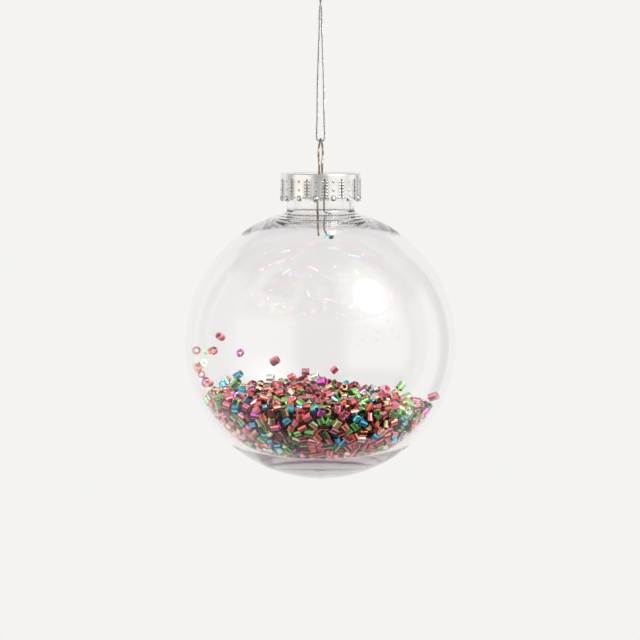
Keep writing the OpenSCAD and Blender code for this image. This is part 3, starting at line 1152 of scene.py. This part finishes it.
def cut_wire_holes(cap):
    """Two round holes in the cap's top for the wire's legs; makes the modifiers permanent."""
    parts = []
    for side in (-1, 1):
        x, y = in_hanger_plane(0, side * HOLE_OUT)
        path = np.array([(x, y, CAP_TOP - 1.5), (x, y, CAP_TOP + 1)])
        parts.append(tube_mesh(path, WIRE_HOLE_R, 40, round_ends=False))
    points, faces = join(parts)
    cutter = link_mesh("hole_cutter", mm(points), faces)
    cut = cap.modifiers.new("holes", "BOOLEAN")
    cut.operation = "DIFFERENCE"
    cut.solver = "EXACT"
    cut.object = cutter
    graph = bpy.context.evaluated_depsgraph_get()
    mesh = bpy.data.meshes.new_from_object(cap.evaluated_get(graph), depsgraph=graph)
    cap.modifiers.clear()
    cap.data = mesh
    bpy.data.objects.remove(cutter)


# ---------------------------------------------------------------- wire hanger

WIRE_R = 0.3
WIRE_SIDES = 20
WIRE_STEP = 0.22
# The wire's route, as distance out of the loop's plane, along it, and height
ARCH_R = 1.6
FRONT_LEG = [[0.3, -6, 32.8], [0.2, -6.5, 35.5], [0.15, -6.8, 38.5], [0.15, -6.8, 41.5],
             [0.1, -6.3, 44.4], [0, -4.9, 47.2], [0, -3.3, 48.7], [0, -2.8, 49.6]]
BACK_LEG = [[0, 2.8, 49.6], [0, 3.3, 48.7], [0, 4.9, 47.2], [0, 6.3, 44.4], [0, 6.8, 41.5],
            [0, 6.8, 38.5], [0.1, 6.7, 36], [0.9, 6.3, 33.6], [1.1, 6.2, 32.8]]
# One side of the loop above the cap, as distance along the plane and height
LOOP_SIDE = [[-2.8, 51], [-2.8, 52.4], [-3.1, 53.4], [-3.8, 54.6], [-4.2, 55.8], [-3.9, 57],
             [-3.05, 58.2], [-2.1, 59]]


def make_wire():
    arch = [[0, ARCH_R * math.sin(a), APEX_Z + ARCH_R * math.cos(a)]
            for a in np.radians(np.arange(-50, 51, 10))]
    rising = [[0, s, z] for s, z in LOOP_SIDE]
    falling = [[0, -s, z] for s, z in reversed(LOOP_SIDE)]
    route = FRONT_LEG + rising + arch + falling + BACK_LEG
    path = [(*in_hanger_plane(n, s), z) for n, s, z in route]
    line = even(curve_through(path, CURVE_STEPS), WIRE_STEP)
    points, faces = tube_mesh(line, WIRE_R, WIRE_SIDES)
    wire = link_mesh("bent_wire", mm(points), faces)
    wire.data.materials.append(wire_material())
    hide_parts("wire_hanger")
    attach(wire, "hanger")


# ---------------------------------------------------------------- cord

CORD_R = 0.3
PLY_R = 0.16
PLY_SIDES = 8
TWIST_PITCH = 2.1
TWIST_STEPS = 14
KNOT_TOP = 106.1
KNOT_WRAPS = 3
KNOT_POINTS = 60
CORD_HALF = [[0.31, 0, 102.9], [0.15, -0.3, 101], [-0.2, -0.26, 99], [-0.33, 0, 97],
             [-0.34, 0, 94.5], [-0.38, 0, 92], [-0.5, 0, 89], [-0.6, 0, 86], [-0.8, 0, 80],
             [-0.95, 0, 74], [-1, 0, 68], [-1.1, 0, 63.5], [-1.2, 0, 60.7], [-0.85, 0, 59.85]]
CORD_ROUTE = CORD_HALF + [[0, 0, 59.5]] + [[-x, -y, z] for x, y, z in reversed(CORD_HALF)]
LOOP_HALF = [[-0.35, 0, 106.1], [-0.45, 0, 106.8], [-1.3, 0, 108.1], [-2.8, 0, 109.7],
             [-4, 0, 111.6], [-4.5, 0, 113.6], [-3.9, 0, 115.8], [-2.2, 0, 117.3]]
LOOP_ROUTE = LOOP_HALF + [[0, 0, 117.8]] + [[-x, y, z] for x, y, z in reversed(LOOP_HALF)]


def two_ply(path):
    """Two yarns wound round each other along the path."""
    line = even(path, TWIST_PITCH / TWIST_STEPS)
    _, u, v = frames(line)
    along = np.concatenate([[0], np.cumsum(np.linalg.norm(np.diff(line, axis=0), axis=1))])
    plies = []
    for half in (0, math.pi):
        turn = (2 * math.pi * along / TWIST_PITCH + half)[:, None]
        ply = line + (CORD_R - PLY_R) * (np.cos(turn) * u + np.sin(turn) * v)
        plies.append(tube_mesh(ply, PLY_R, PLY_SIDES))
    return join(plies)


def knot_parts():
    """A coil of cord round two strands that cross inside it."""
    turn = np.linspace(0, 2 * math.pi * KNOT_WRAPS, KNOT_POINTS)
    rise = np.linspace(KNOT_Z + 0.75, KNOT_TOP - 0.75, KNOT_POINTS)
    swell = 0.82 + 0.16 * np.sin(np.linspace(0, math.pi, KNOT_POINTS))
    parts = [two_ply(np.stack([swell * np.cos(turn), swell * np.sin(turn), rise], axis=1))]
    for x, y in ((0.33, 0.2), (-0.33, -0.2)):
        core = [(x, y, KNOT_Z + 0.1), (0.7 * x, -0.7 * y, (KNOT_Z + KNOT_TOP) / 2),
                (x, -y, KNOT_TOP - 0.1)]
        parts.append(two_ply(curve_through(core, 6)))
    return parts


def make_cord_piece(name, parts, body, node, material):
    points, faces = join(parts)
    piece = link_mesh(name, mm(points), faces)
    piece.data.materials.append(material)
    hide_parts(node)
    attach(piece, body)
    return piece


def make_cords():
    material = cord_material()
    knot = make_cord_piece("knot", knot_parts(), "top_loop", "cord_knot", material)
    route = curve_through(CORD_ROUTE, CURVE_STEPS)
    cord = make_cord_piece("cord", [two_ply(route)], "cord", "hanging_cord", material)
    place(*CORD_ROUTE[0])
    mm(route).tolist()
    route = curve_through(LOOP_ROUTE, CURVE_STEPS)
    loop = make_cord_piece("top_loop_cord", [two_ply(route)], "top_loop", "cord_top_loop",
                           material)
    place(*LOOP_ROUTE[0])
    mm(route).tolist()


make_camera()
make_cords()
make_world()
make_floor()
make_glass()
make_cap()
make_wire()
make_beads()
bpy.context.scene.view_settings.view_transform = "Standard"
# Light runs a long way round inside the thick base of the ball
bpy.context.scene.cycles.glossy_bounces = 32
bpy.context.scene.cycles.max_bounces = 36
